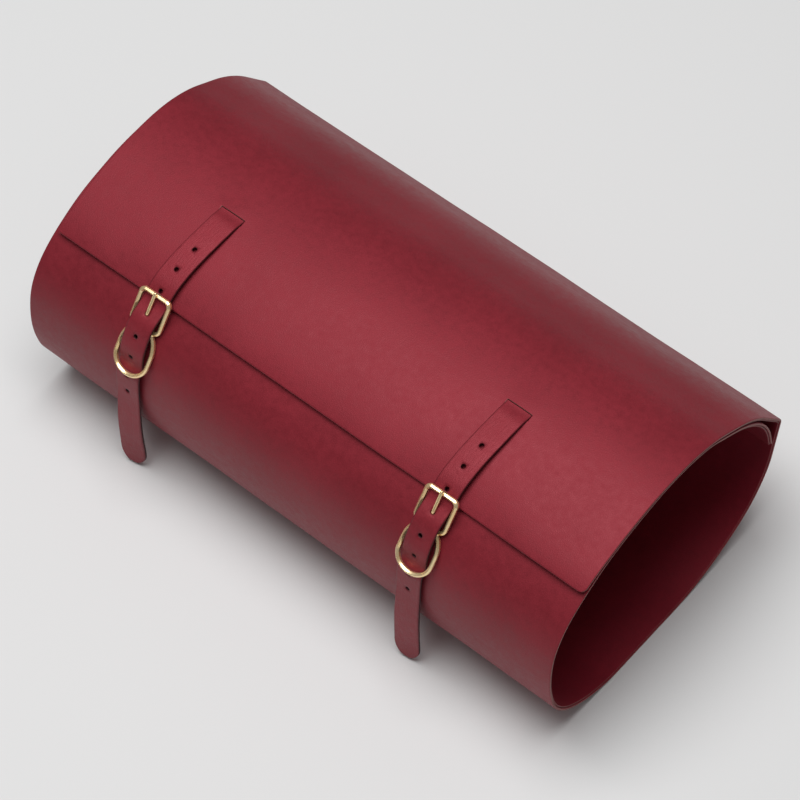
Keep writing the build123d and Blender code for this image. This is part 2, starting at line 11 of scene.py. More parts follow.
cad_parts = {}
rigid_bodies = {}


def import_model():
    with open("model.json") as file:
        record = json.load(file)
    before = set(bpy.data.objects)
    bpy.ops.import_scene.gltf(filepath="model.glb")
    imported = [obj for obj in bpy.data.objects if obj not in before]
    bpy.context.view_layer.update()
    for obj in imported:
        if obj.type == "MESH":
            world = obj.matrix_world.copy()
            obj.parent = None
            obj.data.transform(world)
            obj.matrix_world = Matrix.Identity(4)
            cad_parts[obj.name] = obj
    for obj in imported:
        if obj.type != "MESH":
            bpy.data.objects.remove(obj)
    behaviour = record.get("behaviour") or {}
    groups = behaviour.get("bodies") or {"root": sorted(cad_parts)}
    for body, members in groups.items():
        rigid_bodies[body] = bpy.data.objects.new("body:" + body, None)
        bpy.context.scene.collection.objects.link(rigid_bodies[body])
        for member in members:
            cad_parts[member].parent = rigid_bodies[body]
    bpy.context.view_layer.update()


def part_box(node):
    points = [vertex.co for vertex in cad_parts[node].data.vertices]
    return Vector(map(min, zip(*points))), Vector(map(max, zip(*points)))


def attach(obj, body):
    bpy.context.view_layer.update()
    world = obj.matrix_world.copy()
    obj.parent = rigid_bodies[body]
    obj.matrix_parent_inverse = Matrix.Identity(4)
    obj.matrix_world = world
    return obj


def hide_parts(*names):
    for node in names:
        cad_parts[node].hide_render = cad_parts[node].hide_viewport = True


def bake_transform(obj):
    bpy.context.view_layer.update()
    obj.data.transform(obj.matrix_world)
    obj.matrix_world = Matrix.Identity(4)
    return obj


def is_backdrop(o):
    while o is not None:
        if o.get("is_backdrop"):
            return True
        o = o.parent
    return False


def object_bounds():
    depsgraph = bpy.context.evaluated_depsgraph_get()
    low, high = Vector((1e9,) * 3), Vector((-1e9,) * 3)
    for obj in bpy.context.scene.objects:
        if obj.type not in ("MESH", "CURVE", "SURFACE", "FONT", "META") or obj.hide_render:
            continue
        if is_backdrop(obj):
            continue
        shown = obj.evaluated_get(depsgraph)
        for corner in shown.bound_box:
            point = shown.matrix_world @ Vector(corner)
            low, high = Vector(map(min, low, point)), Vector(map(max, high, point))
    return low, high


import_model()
MM = 0.001

# ------------------------------------------------------------------ sizes shared with the CAD model
ROLL_WIDTH = 197.0 * MM
ROLL_HEIGHT = 144.5 * MM
HALF_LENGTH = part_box("outer_leather")[1].x
OUTER_PLY = 1.4 * MM
GLUE_LINE = 0.1 * MM
LINING_PLY = 1.0 * MM
LEATHER = OUTER_PLY + GLUE_LINE + LINING_PLY
LAP_GAP = 0.3 * MM
MEAN_DIAMETER = (ROLL_WIDTH + ROLL_HEIGHT) / 2
JOIN_SHARE, FLAP_END_SHARE = 0.363, 1.191
JOIN_ARC = JOIN_SHARE * MEAN_DIAMETER
JOIN_LEAD = 14.0 * MM
FLAP_END_ARC = FLAP_END_SHARE * MEAN_DIAMETER
FLAP_CORNER = 4.0 * MM
CREASE_RADIUS = 6.5 * MM
ROUNDING = 0.49               # share of a run that each of its corners may take
END_ROUNDING = 0.95           # the same for the first and last runs
OVAL = [
    (0.957, 0.004), (0.899, 0.326), (0.706, 0.650), (0.262, 0.982), (-0.127, 0.999),
    (-0.600, 0.825), (-0.954, 0.440), (-1.013, -0.090), (-0.908, -0.665), (-0.545, -1.0),
    (0.330, -1.0), (0.712, -0.763), (0.945, -0.425),
]
CREASE = (1.029, 0.200)
SLIT_ABOVE_EDGE = 60.8 * MM
BAR_BELOW_EDGE = 17.4 * MM
STRAP_WIDTH = 16.0 * MM
STRAP_THICK = 1.8 * MM
HOLE_RADIUS = 1.3 * MM
HOLE_PITCH = 14.25 * MM


# ------------------------------------------------------------------ routes in the YZ plane
class Route:
    """Straight runs and tangent arcs, measured by arc length; an offset is to the right."""

    def __init__(self, start, heading, moves):
        self.starts, self.headings, self.lengths, self.turns = [], [], [], []
        y, z = start
        for length, turn in moves:
            if length <= 1e-9:
                continue
            self.starts.append((y, z))
            self.headings.append(heading)
            self.lengths.append(length)
            self.turns.append(turn)
            (y, z), heading = self.step((y, z), heading, length, turn, length)
        self.ends = np.cumsum(self.lengths)
        self.length = float(self.ends[-1])

    @staticmethod
    def step(start, heading, length, turn, along):
        y, z = start
        if turn == 0.0:
            return (y + along * math.cos(heading), z + along * math.sin(heading)), heading
        bend = turn / length
        here = heading + bend * along
        y += (math.sin(here) - math.sin(heading)) / bend
        z -= (math.cos(here) - math.cos(heading)) / bend
        return (y, z), here

    @classmethod
    def round_corners(cls, corners, radii=None):
        """A route through the corners, each rounded as far as its two runs allow."""
        runs = list(zip(corners[:-1], corners[1:]))
        lengths = [math.dist(a, b) for a, b in runs]
        headings = [math.atan2(b[1] - a[1], b[0] - a[0]) for a, b in runs]
        moves, used = [], 0.0
        for i in range(1, len(runs)):
            turn = math.remainder(headings[i] - headings[i - 1], 2 * math.pi)
            cut = min(lengths[i - 1] * (END_ROUNDING if i == 1 else ROUNDING),
                      lengths[i] * (END_ROUNDING if i == len(runs) - 1 else ROUNDING))
            if radii and radii.get(i):
                cut = min(cut, radii[i] * abs(math.tan(turn / 2)))
            moves.append((lengths[i - 1] - used - cut, 0.0))
            moves.append((cut / abs(math.tan(turn / 2)) * abs(turn), turn))
            used = cut
        moves.append((lengths[-1] - used, 0.0))
        return cls(corners[0], headings[0], moves)

    def at(self, arc):
        """Point and heading at an arc length; past an end, the route runs straight on."""
        i = min(int(np.searchsorted(self.ends, arc)), len(self.lengths) - 1)
        along = arc - (self.ends[i] - self.lengths[i])
        inside = min(max(along, 0.0), self.lengths[i])
        (y, z), here = self.step(self.starts[i], self.headings[i], self.lengths[i],
                                 self.turns[i], inside)
        extra = along - inside
        return (y + extra * math.cos(here), z + extra * math.sin(here)), here

    def point(self, arc, offset=0.0):
        (y, z), here = self.at(arc)
        return (y + offset * math.sin(here), z - offset * math.cos(here))

    def curvature(self, arc):
        i = min(int(np.searchsorted(self.ends, arc)), len(self.lengths) - 1)
        return self.turns[i] / self.lengths[i]

    def moves(self, first, last, offset=0.0):
        out, passed = [], 0.0
        for length, turn in zip(self.lengths, self.turns):
            low, high = max(first - passed, 0.0), min(last - passed, length)
            if high - low > 1e-9:
                part = turn * (high - low) / length
                out.append(((high - low) + offset * part, part))
            passed += length
        return out


def sheet_route():
    """The outer face of the sheet, from its inner end to the flap's free edge."""
    corners = [(y * ROLL_WIDTH / 2, z * ROLL_HEIGHT / 2) for y, z in OVAL + [CREASE]]
    turn = Route.round_corners(corners)
    lap = LEATHER + LAP_GAP
    settle, heading = turn.point(JOIN_ARC, lap), turn.at(JOIN_ARC)[1]
    lead = (settle[0] - JOIN_LEAD * math.cos(heading), settle[1] - JOIN_LEAD * math.sin(heading))
    whole = Route.round_corners(corners + [lead, settle], {len(OVAL): CREASE_RADIUS})
    return Route(corners[0], whole.headings[0],
                 whole.moves(0.0, whole.length) + turn.moves(JOIN_ARC, FLAP_END_ARC, lap))


SHEET = sheet_route()
section = np.array([SHEET.point(SHEET.length * i / 2000) for i in range(2001)])
leather_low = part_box("outer_leather")[0]
SHIFT_Y = leather_low.y - float(section[:, 0].min())
SHIFT_Z = leather_low.z - float(section[:, 1].min())
EDGE_ARC = SHEET.length
SLIT_ARC = EDGE_ARC - SLIT_ABOVE_EDGE
STRAPS = {}
for side in ("left", "right"):
    low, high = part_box("centre_bar_" + side)
    STRAPS[side] = (low.x + high.x) / 2


def on_sheet(arc, x, offset):
    y, z = SHEET.point(arc, offset)
    return Vector((x, y + SHIFT_Y, z + SHIFT_Z))


# ------------------------------------------------------------------ plates: bent sheets with real edges
class Plate:
    """A bent sheet over a grid of arc lengths and widths, with round holes and cut-outs.

    place(arc, across, lift) gives a point; lift runs from -1 on the back to 1 on the face.
    """

    def __init__(self, arcs, acrosses, place, keep=None, holes=(), hole_radius=0.0, rounding=None):
        self.arcs, self.acrosses, self.place = arcs, acrosses, place
        self.keep = keep or (lambda arc, across: True)
        self.holes, self.hole_radius = holes, hole_radius
        self.rounding = rounding or (lambda arc, across: 1.0)
        self.verts, self.faces, self.rims = [], [], []
        self.grid = {}

    def vertex(self, key, arc, across, lift):
        if key not in self.grid:
            self.grid[key] = len(self.verts)
            amount = lift * self.rounding(arc, across)
            self.verts.append(self.place(arc, across, amount))
        return self.grid[key]

    def cells(self):
        kept = set()
        for i in range(len(self.arcs) - 1):
            for j in range(len(self.acrosses) - 1):
                arc = (self.arcs[i] + self.arcs[i + 1]) / 2
                across = (self.acrosses[j] + self.acrosses[j + 1]) / 2
                if self.keep(arc, across):
                    kept.add((i, j))
        return kept

    def build(self, name):
        kept = self.cells()
        rings = []
        for arc, across in self.holes:
            i0 = int(np.argmin([abs(a - arc) for a in self.arcs])) - 2
            j0 = int(np.argmin([abs(a - across) for a in self.acrosses])) - 2
            for i in range(i0, i0 + 4):
                for j in range(j0, j0 + 4):
                    kept.discard((i, j))
            rings.append((arc, across, i0, j0))
        for lift in (1, -1):
            for i, j in sorted(kept):
                quad = [self.corner(i, j, lift), self.corner(i, j + 1, lift),
                        self.corner(i + 1, j + 1, lift), self.corner(i + 1, j, lift)]
                self.faces.append(quad if lift == 1 else quad[::-1])
        blocks = {(i, j) for _, _, i0, j0 in rings for i in range(i0, i0 + 4) for j in range(j0, j0 + 4)}
        for i, j in sorted(kept):
            for (a, b), other in (((i, j), (i + 1, j)), (i, j - 1)), \
                    (((i + 1, j), (i + 1, j + 1)), (i + 1, j)), \
                    (((i + 1, j + 1), (i, j + 1)), (i, j + 1)), \
                    (((i, j + 1), (i, j)), (i - 1, j)):
                if other in kept or other in blocks:
                    continue
                self.rim(self.corner(*a, 1), self.corner(*b, 1),
                         self.corner(*b, -1), self.corner(*a, -1))
        for number, (arc, across, i0, j0) in enumerate(rings):
            self.hole(number, arc, across, i0, j0)
        mesh = bpy.data.meshes.new(name)
        mesh.from_pydata([tuple(v) for v in self.verts], [], self.faces + self.rims)
        flags = [0] * len(self.faces) + [1] * len(self.rims)
        mesh.polygons.foreach_set("material_index", flags)
        mesh.polygons.foreach_set("use_smooth", [True] * len(flags))
        mesh.validate()
        mesh.update()
        obj = bpy.data.objects.new(name, mesh)
        bpy.context.scene.collection.objects.link(obj)
        return obj

    def corner(self, i, j, lift):
        return self.vertex((i, j, lift), self.arcs[i], self.acrosses[j], lift)

    def rim(self, a, b, c, d):
        self.rims.append([a, b, c, d])

    def hole(self, number, arc, across, i0, j0):
        """Quads from the edge of a 4 by 4 block of cells to a round hole's wall."""
        outline = ([(i0 + k, j0) for k in range(4)] + [(i0 + 4, j0 + k) for k in range(4)]
                   + [(i0 + 4 - k, j0 + 4) for k in range(4)] + [(i0, j0 + 4 - k) for k in range(4)])
        walls = {}
        for lift in (1, -1):
            shelf, wall = [], []
            for k, (i, j) in enumerate(outline):
                direction = math.atan2(self.acrosses[j] - across, self.arcs[i] - arc)
                for ring, radius, soft, store in (("s", 1.18, 0.96, shelf), ("w", 1.0, 0.72, wall)):
                    reach = self.hole_radius * radius
                    key = (number, k, ring, lift)
                    self.grid[key] = len(self.verts)
                    self.verts.append(self.place(arc + reach * math.cos(direction),
                                                 across + reach * math.sin(direction), lift * soft))
                    store.append(self.grid[key])
            outer = [self.corner(i, j, lift) for i, j in outline]
            for one, two in ((outer, shelf), (shelf, wall)):
                for k in range(16):
                    m = (k + 1) % 16
                    quad = [one[k], one[m], two[m], two[k]]
                    self.faces.append(quad[::-1] if lift == 1 else quad)
            walls[lift] = wall
        for k in range(16):
            m = (k + 1) % 16
            self.rims.append([walls[1][m], walls[1][k], walls[-1][k], walls[-1][m]])


def spaced(first, last, step, extra=(), fine_steps=()):
    """Grid lines from first to last, finer at both ends, with extra lines worked in."""
    fixed = sorted({first, last, *[e for e in extra if first < e < last]})
    fixed += [first + f for f in fine_steps] + [last - f for f in fine_steps]
    fixed = sorted(set(round(f, 7) for f in fixed))
    lines = [fixed[0]]
    for a, b in zip(fixed[:-1], fixed[1:]):
        count = max(1, int(math.ceil((b - a) / step - 1e-6)))
        lines += [a + (b - a) * k / count for k in range(1, count + 1)]
    return lines


def smooth_step(t):
    t = min(max(t, 0.0), 1.0)
    return t * t * (3 - 2 * t)


def bump(t):
    """1 at t = 0, falling smoothly to 0 at t = -1 and t = 1."""
    return smooth_step(1.0 - abs(t))


def wave(scale, *where):
    """Smooth noise from about -1 to 1, with features of about scale metres."""
    return noise.noise(Vector([w / scale for w in where] + [0.0] * (3 - len(where))))


def edge_round(distance, radius, least):
    """Share of the half thickness that is left at a distance from a cut edge."""
    if distance >= radius:
        return 1.0
    t = 1.0 - max(distance, 0.0) / radius
    return least + (1.0 - least) * math.sqrt(max(0.0, 1.0 - t * t))


def store(obj, name, values):
    layer = obj.data.attributes.new(name, "FLOAT", "POINT")
    layer.data.foreach_set("value", np.asarray(values, np.float32))


def tidy_mesh(obj, materials):
    """Merge what meets at a point, turn every face outward and give the materials."""
    bm = bmesh.new()
    bm.from_mesh(obj.data)
    bmesh.ops.remove_doubles(bm, verts=bm.verts, dist=2e-6)
    bmesh.ops.dissolve_degenerate(bm, edges=bm.edges, dist=1e-6)
    bmesh.ops.recalc_face_normals(bm, faces=bm.faces)
    bm.to_mesh(obj.data)
    bm.free()
    for material in materials:
        obj.data.materials.append(material)
    return obj


# ------------------------------------------------------------------ buckle's own place, as in CAD
BAR_RADIUS = 1.25 * MM
CHAPE_THICK = 1.0 * MM
CHAPE_LIFT = 0.1 * MM
CHAPE_PLY_GAP = 0.1 * MM
CHAPE_LENGTH = 15.5 * MM
CHAPE_SETTLE = 7.0 * MM
CHAPE_HALF = 5.25 * MM
RIVET_BELOW_BAR = 10.5 * MM
RIVET_HOLE = 1.42 * MM
FRAME_THICK = 2.4 * MM
MOVE_CLEARANCE = 0.35 * MM
FOLD_CLEARANCE = 0.25 * MM
FOLD_RADIUS = BAR_RADIUS + FOLD_CLEARANCE + CHAPE_THICK
BAR_HEIGHT = FOLD_RADIUS + CHAPE_LIFT
BAR_ARC = FLAP_END_ARC + BAR_BELOW_EDGE
DOWN_ANGLE = SHEET.at(BAR_ARC)[1]
FOOT = SHEET.point(BAR_ARC)
TOP_REACH, LOOP_REACH, RAIL_WIDTH = 21.8, 29.8, 2.2
RAIL_CENTRE = (TOP_REACH - RAIL_WIDTH / 2) * MM
LOOP_RAIL = (LOOP_REACH - RAIL_WIDTH / 2) * MM
STRAP_REST = 0.3 * MM
RAIL_LIFT = 2.5 * MM
ARCH = ((20.0, 1.4), (37.0, 2.3), (51.0, 2.9))           # mm past the slit, mm of rise
OVER_BAR_EASE, OVER_BAR_REACH = 0.30 * MM, 4.3 * MM
RISE_FROM, RISE_START = 5.5 * MM, 0.9 * MM
DIP_FROM, DIP_FROM_HEIGHT = 14.6 * MM, 2.5 * MM
DIP_TO, DIP_EASE = 22.4 * MM, 0.05 * MM
LOOP_BEND = 0.8 * MM
TAIL_EASE, TAIL_BEND, TAIL_LEAD = 0.3 * MM, 9 * MM, 4 * MM
TIP_ABOVE_TABLE = 1.8 * MM
ROCK_ANGLE = 1.0
PRONG_PLACE = (-9.6 * MM, 1.9 * MM)                      # where the prong crosses the strap


def local(down, out):
    cos, sin = math.cos(DOWN_ANGLE), math.sin(DOWN_ANGLE)
    return (FOOT[0] + down * cos + out * sin, FOOT[1] + down * sin - out * cos)


def height_over(point):
    return (point[0] - FOOT[0]) * math.sin(DOWN_ANGLE) - (point[1] - FOOT[1]) * math.cos(DOWN_ANGLE)


UNDER_RAIL = SHEET.point(SHEET.length - (RAIL_CENTRE - BAR_BELOW_EDGE),
                         STRAP_REST + RAIL_LIFT + STRAP_THICK / 2)
RAIL_HEIGHT = height_over(UNDER_RAIL) + STRAP_THICK / 2 + MOVE_CLEARANCE + FRAME_THICK / 2
LEAN = math.asin((RAIL_HEIGHT - BAR_HEIGHT) / RAIL_CENTRE)


def in_frame(down, out):
    return local(down * math.cos(LEAN) + out * math.sin(LEAN),
                 BAR_HEIGHT - down * math.sin(LEAN) + out * math.cos(LEAN))


def strap_route():
    lift = STRAP_REST + STRAP_THICK / 2
    over_bar = FOLD_RADIUS + MOVE_CLEARANCE + STRAP_THICK / 2 + OVER_BAR_EASE
    below_frame = FRAME_THICK / 2 + STRAP_THICK / 2
    clearance = 2 * MOVE_CLEARANCE + LOOP_RAIL * math.sin(math.radians(ROCK_ANGLE))
    under_loop = in_frame(LOOP_RAIL + LOOP_BEND, -below_frame - clearance)
    front = float(section[:, 0].min())
    tail_y = min(under_loop[0] - TAIL_EASE, front - STRAP_REST - STRAP_THICK / 2)
    corners = [SHEET.point(SLIT_ARC, lift)]
    corners += [SHEET.point(SLIT_ARC + along * MM, lift + rise * MM) for along, rise in ARCH]
    corners += [
        UNDER_RAIL,
        in_frame(-RAIL_CENTRE + RISE_FROM, -below_frame - MOVE_CLEARANCE + RISE_START),
        in_frame(-OVER_BAR_REACH, over_bar),
        in_frame(OVER_BAR_REACH, over_bar),
        in_frame(DIP_FROM, DIP_FROM_HEIGHT),
        SHEET.point(BAR_ARC + DIP_TO, lift + DIP_EASE),
        under_loop,
        (tail_y, under_loop[1] - TAIL_BEND),
        (tail_y, under_loop[1] - TAIL_BEND - TAIL_LEAD),
    ]
    return Route.round_corners(corners)


STRAP = strap_route()
HINGE = STRAP.point(STRAP.length)
TAIL_LENGTH = HINGE[1] + ROLL_HEIGHT / 2 - TIP_ABOVE_TABLE
steps = [STRAP.length * i / 4000 for i in range(4001)]
PRONG_HOLE = min(steps, key=lambda a: math.dist(STRAP.point(a), in_frame(*PRONG_PLACE)))
SLIT_SHIFT = {"left": 3.4 * MM, "right": 2.9 * MM}       # the straps lean a little at the slit


# ------------------------------------------------------------------ materials
def new_material(name):
    material = bpy.data.materials.new(name)
    material.use_nodes = True
    tree = material.node_tree
    return material, tree, tree.nodes["Principled BSDF"]


def add(tree, kind, **values):
    node = tree.nodes.new(kind)
    for key, value in values.items():
        if hasattr(node, key):
            setattr(node, key, value)
        else:
            node.inputs[key.replace("_", " ")].default_value = value
    return node


def ramp(tree, source, stops):
    node = tree.nodes.new("ShaderNodeValToRGB")
    points = node.color_ramp.elements
    while len(points) < len(stops):
        points.new(0.5)
    for point, (place, colour) in zip(points, stops):
        point.position = place
        point.color = (*colour, 1.0) if len(colour) == 3 else colour
    tree.links.new(source, node.inputs[0])
    return node.outputs[0]


def mixed(tree, share, one, two, mode="MIX"):
    node = tree.nodes.new("ShaderNodeMix")
    node.data_type = "RGBA"
    node.blend_type = mode
    for socket, value in ((node.inputs[0], share), (node.inputs[6], one), (node.inputs[7], two)):
        if isinstance(value, bpy.types.NodeSocket):
            tree.links.new(value, socket)
        else:
            socket.default_value = value if not isinstance(value, tuple) else (*value, 1.0)
    return node.outputs[2]


def grey(value):
    return (value, value, value)


GRAIN_SCALE = 1100.0


def leather(name, dark, light, rough, grain, edge_dark=0.0, creases=0.0):
    """Smooth dyed leather: mottled colour, fine pebble grain, pores and, if asked, creases."""
    material, tree, shader = new_material(name)
    link = tree.links.new
    where = add(tree, "ShaderNodeTexCoord").outputs["Object"]
    broad = add(tree, "ShaderNodeTexNoise", Scale=16.0, Detail=4.0, Roughness=0.55)
    fine = add(tree, "ShaderNodeTexNoise", Scale=240.0, Detail=5.0, Roughness=0.6)
    cells = add(tree, "ShaderNodeTexVoronoi", feature="DISTANCE_TO_EDGE", Scale=GRAIN_SCALE)
    pores = add(tree, "ShaderNodeTexVoronoi", feature="F1", Scale=GRAIN_SCALE * 0.62)
    warp = add(tree, "ShaderNodeTexNoise", Scale=300.0, Detail=2.0)
    bent = tree.nodes.new("ShaderNodeMix")
    bent.data_type = "VECTOR"
    bent.inputs[0].default_value = 0.0015
    link(where, bent.inputs[4])
    link(warp.outputs["Color"], bent.inputs[5])
    for node in (broad, fine, warp):
        link(where, node.inputs["Vector"])
    for node in (cells, pores):
        link(bent.outputs[1], node.inputs["Vector"])
    tone = ramp(tree, broad.outputs["Fac"], [(0.32, dark), (0.68, light)])
    speck = ramp(tree, fine.outputs["Fac"], [(0.30, grey(0.80)), (0.62, grey(1.0))])
    colour = mixed(tree, 0.75, tone, speck, "MULTIPLY")
    valley = ramp(tree, cells.outputs["Distance"], [(0.0, grey(0.72)), (0.16, grey(1.0))])
    colour = mixed(tree, 0.55, colour, valley, "MULTIPLY")
    if edge_dark:
        edge = add(tree, "ShaderNodeAttribute", attribute_name="edge").outputs["Fac"]
        shade = ramp(tree, edge, [(0.0, grey(1.0)), (0.55, grey(1.0 - edge_dark * 0.25)),
                                  (1.0, grey(1.0 - edge_dark))])
        colour = mixed(tree, 1.0, colour, shade, "MULTIPLY")
    link(colour, shader.inputs["Base Color"])
    gloss = ramp(tree, fine.outputs["Fac"], [(0.25, grey(rough - 0.06)), (0.75, grey(rough + 0.08))])
    link(gloss, shader.inputs["Roughness"])
    height = tree.nodes.new("ShaderNodeMath")
    height.operation = "ADD"
    soft_cells = ramp(tree, cells.outputs["Distance"], [(0.0, grey(0.0)), (0.30, grey(1.0))])
    pits = ramp(tree, pores.outputs["Distance"], [(0.10, grey(0.0)), (0.35, grey(0.5))])
    link(soft_cells, height.inputs[0])
    link(pits, height.inputs[1])
    first = add(tree, "ShaderNodeBump", Strength=grain, Distance=0.00006)
    link(height.outputs[0], first.inputs["Height"])
    second = add(tree, "ShaderNodeBump", Strength=0.35, Distance=0.00025)
    wide = add(tree, "ShaderNodeTexNoise", Scale=90.0, Detail=3.0, Roughness=0.5)
    link(where, wide.inputs["Vector"])
    link(wide.outputs["Fac"], second.inputs["Height"])
    link(first.outputs[0], second.inputs["Normal"])
    last = second
    if creases:
        lines = add(tree, "ShaderNodeTexNoise", Scale=60.0, Detail=5.0, Roughness=0.62)
        place = add(tree, "ShaderNodeUVMap").outputs["UV"]
        stretch = tree.nodes.new("ShaderNodeMapping")
        stretch.inputs["Scale"].default_value = (1.0, 0.16, 1.0)
        link(place, stretch.inputs["Vector"])
        link(stretch.outputs[0], lines.inputs["Vector"])
        folds = ramp(tree, lines.outputs["Fac"], [(0.40, grey(0.0)), (0.50, grey(1.0)),
                                                  (0.60, grey(0.2))])
        third = add(tree, "ShaderNodeBump", Strength=creases, Distance=0.0003)
        link(folds, third.inputs["Height"])
        link(second.outputs[0], third.inputs["Normal"])
        last = third
    link(last.outputs[0], shader.inputs["Normal"])
    shader.inputs["Specular IOR Level"].default_value = 0.85
    shader.inputs["Specular Tint"].default_value = (1.0, 0.24, 0.28, 1.0)
    return material


def cut_edge(name, dark, light):
    """The raw edge of the hide: short fibres, paler than the dyed face."""
    material, tree, shader = new_material(name)
    link = tree.links.new
    where = add(tree, "ShaderNodeTexCoord").outputs["Object"]
    fibres = add(tree, "ShaderNodeTexNoise", Scale=900.0, Detail=4.0, Roughness=0.7)
    patches = add(tree, "ShaderNodeTexNoise", Scale=70.0, Detail=3.0)
    for node in (fibres, patches):
        link(where, node.inputs["Vector"])
    base = ramp(tree, fibres.outputs["Fac"], [(0.35, dark), (0.70, light)])
    fade = ramp(tree, patches.outputs["Fac"], [(0.30, grey(0.72)), (0.70, grey(1.0))])
    link(mixed(tree, 0.8, base, fade, "MULTIPLY"), shader.inputs["Base Color"])
    link(ramp(tree, fibres.outputs["Fac"], [(0.3, grey(0.62)), (0.7, grey(0.82))]),
         shader.inputs["Roughness"])
    bumps = add(tree, "ShaderNodeBump", Strength=0.5, Distance=0.0002)
    link(fibres.outputs["Fac"], bumps.inputs["Height"])
    link(bumps.outputs[0], shader.inputs["Normal"])
    return material


def gold(name):
    """Polished gilt brass with faint buffing marks and a few duller patches."""
    material, tree, shader = new_material(name)
    link = tree.links.new
    where = add(tree, "ShaderNodeTexCoord").outputs["Object"]
    patches = add(tree, "ShaderNodeTexNoise", Scale=120.0, Detail=4.0)
    marks = add(tree, "ShaderNodeTexNoise", Scale=700.0, Detail=3.0, Roughness=0.7)
    stretch = tree.nodes.new("ShaderNodeMapping")
    stretch.inputs["Scale"].default_value = (0.12, 1.0, 1.0)
    link(where, stretch.inputs["Vector"])
    link(where, patches.inputs["Vector"])
    link(stretch.outputs[0], marks.inputs["Vector"])
    link(ramp(tree, patches.outputs["Fac"], [(0.3, (1.0, 0.70, 0.34)), (0.7, (1.0, 0.80, 0.48))]),
         shader.inputs["Base Color"])
    link(ramp(tree, patches.outputs["Fac"], [(0.3, grey(0.22)), (0.7, grey(0.32))]),
         shader.inputs["Roughness"])
    shader.inputs["Metallic"].default_value = 0.82
    scratch = add(tree, "ShaderNodeBump", Strength=0.12, Distance=0.00004)
    link(marks.outputs["Fac"], scratch.inputs["Height"])
    link(scratch.outputs[0], shader.inputs["Normal"])
    return material


def thread_material(name):
    material, tree, shader = new_material(name)
    link = tree.links.new
    where = add(tree, "ShaderNodeTexCoord").outputs["Object"]
    twist = add(tree, "ShaderNodeTexWave", Scale=900.0, Distortion=1.5)
    tint = add(tree, "ShaderNodeTexNoise", Scale=200.0, Detail=3.0)
    for node in (twist, tint):
        link(where, node.inputs["Vector"])
    link(ramp(tree, tint.outputs["Fac"], [(0.3, (0.10, 0.016, 0.022)), (0.7, (0.17, 0.03, 0.04))]),
         shader.inputs["Base Color"])
    shader.inputs["Roughness"].default_value = 0.7
    ridges = add(tree, "ShaderNodeBump", Strength=0.5, Distance=0.0001)
    link(twist.outputs["Fac"], ridges.inputs["Height"])
    link(ridges.outputs[0], shader.inputs["Normal"])
    return material


hide = leather("burgundy_hide", (0.176, 0.0130, 0.0210), (0.208, 0.0160, 0.0256), 0.50, 0.45)
inner = leather("lining_hide", (0.170, 0.0080, 0.0170), (0.215, 0.0115, 0.0230), 0.60, 0.35,
                creases=0.35)
strap_hide = leather("strap_hide", (0.188, 0.0150, 0.0230), (0.226, 0.0186, 0.0285), 0.48, 0.45,
                     edge_dark=0.50, creases=0.25)
chape_hide = leather("tab_hide", (0.120, 0.0120, 0.0190), (0.160, 0.0180, 0.0270), 0.50, 0.45,
                     edge_dark=0.5)
pocket_hide = leather("pocket_hide", (0.125, 0.0120, 0.0200), (0.165, 0.0180, 0.0270), 0.52, 0.45)
raw = cut_edge("raw_edge", (0.200, 0.070, 0.060), (0.360, 0.160, 0.140))
lining_raw = cut_edge("lining_raw_edge", (0.150, 0.040, 0.038), (0.290, 0.110, 0.098))
burnished = cut_edge("burnished_edge", (0.030, 0.006, 0.008), (0.060, 0.013, 0.016))
gilt = gold("gilt_brass")
stitch = thread_material("waxed_thread")


# ------------------------------------------------------------------ the rolled sheet
HELD_REACH = 26 * MM          # the relief fades this far from a buckle's tab
HELD_SPREAD = 8 * MM
RELIEF = ((0.075, 0.42 * MM), (0.030, 0.16 * MM))        # size of the waves, and their height
FLOOR_FADE = (2 * MM, 14 * MM)     # the relief is nil to the first height and whole above both
LIFT_REACH = 26 * MM          # the flap's edge starts to lift this far from its end
LIFT_SPREAD = 34 * MM
END_BAND = 12 * MM            # the raw ends wander from straight within this of the end
EDGE_BAND = 16 * MM
LEFT_DRAW = 2.6 * MM          # the flap's left side is drawn in by this, towards its edge
LEFT_DRAW_REACH = 150 * MM
LIP_RISE, LIP_ACROSS, LIP_ALONG = 0.55 * MM, 15 * MM, 16 * MM


def near_buckle(arc, x):
    """1 by the buckles' tabs, where the CAD metal fixes the leather's place, else 0."""
    along = min(abs(arc - (BAR_ARC + HELD_SPREAD)), abs(arc - (BAR_ARC - HELD_SPREAD)))
    share = 0.0
    for centre in STRAPS.values():
        share = max(share, smooth_step(1.6 - math.hypot(along, x - centre) / HELD_REACH))
    return share


def relief(arc, x):
    """How far the sheet stands off its even curve: the same for both plies."""
    y, z = SHEET.point(arc)
    (broad, high), (fine, low) = RELIEF
    waves = wave(broad, x, y, z) * high + wave(fine, x, y + 1.0, z) * low
    still, fade = FLOOR_FADE
    return waves * (1.0 - near_buckle(arc, x)) * smooth_step((z + SHIFT_Z - still) / fade)


def edge_lift(arc, x):
    """The flap's free edge stands a little proud between the straps."""
    beyond = (arc - (EDGE_ARC - LIFT_REACH)) / LIFT_REACH
    held = max(smooth_step(1.5 - abs(x - c) / LIFT_SPREAD) for c in STRAPS.values())
    rise = (0.75 + 0.35 * wave(0.09, x, 4.0)) * MM + 0.5 * MM * smooth_step((x - 0.12) / 0.06)
    return max(rise, 0.0) * smooth_step(beyond) * (1.0 - held)


def lip(arc, x):
    """The leather above each slit is pushed up a little by the strap."""
    rise = 0.0
    for side, centre in STRAPS.items():
        across = (x - centre - SLIT_SHIFT[side]) / LIP_ACROSS
        along = (arc - SLIT_ARC) / LIP_ALONG
        if along < 0.12:
            rise = max(rise, LIP_RISE * bump(across) * smooth_step(1.0 + along))
    return rise


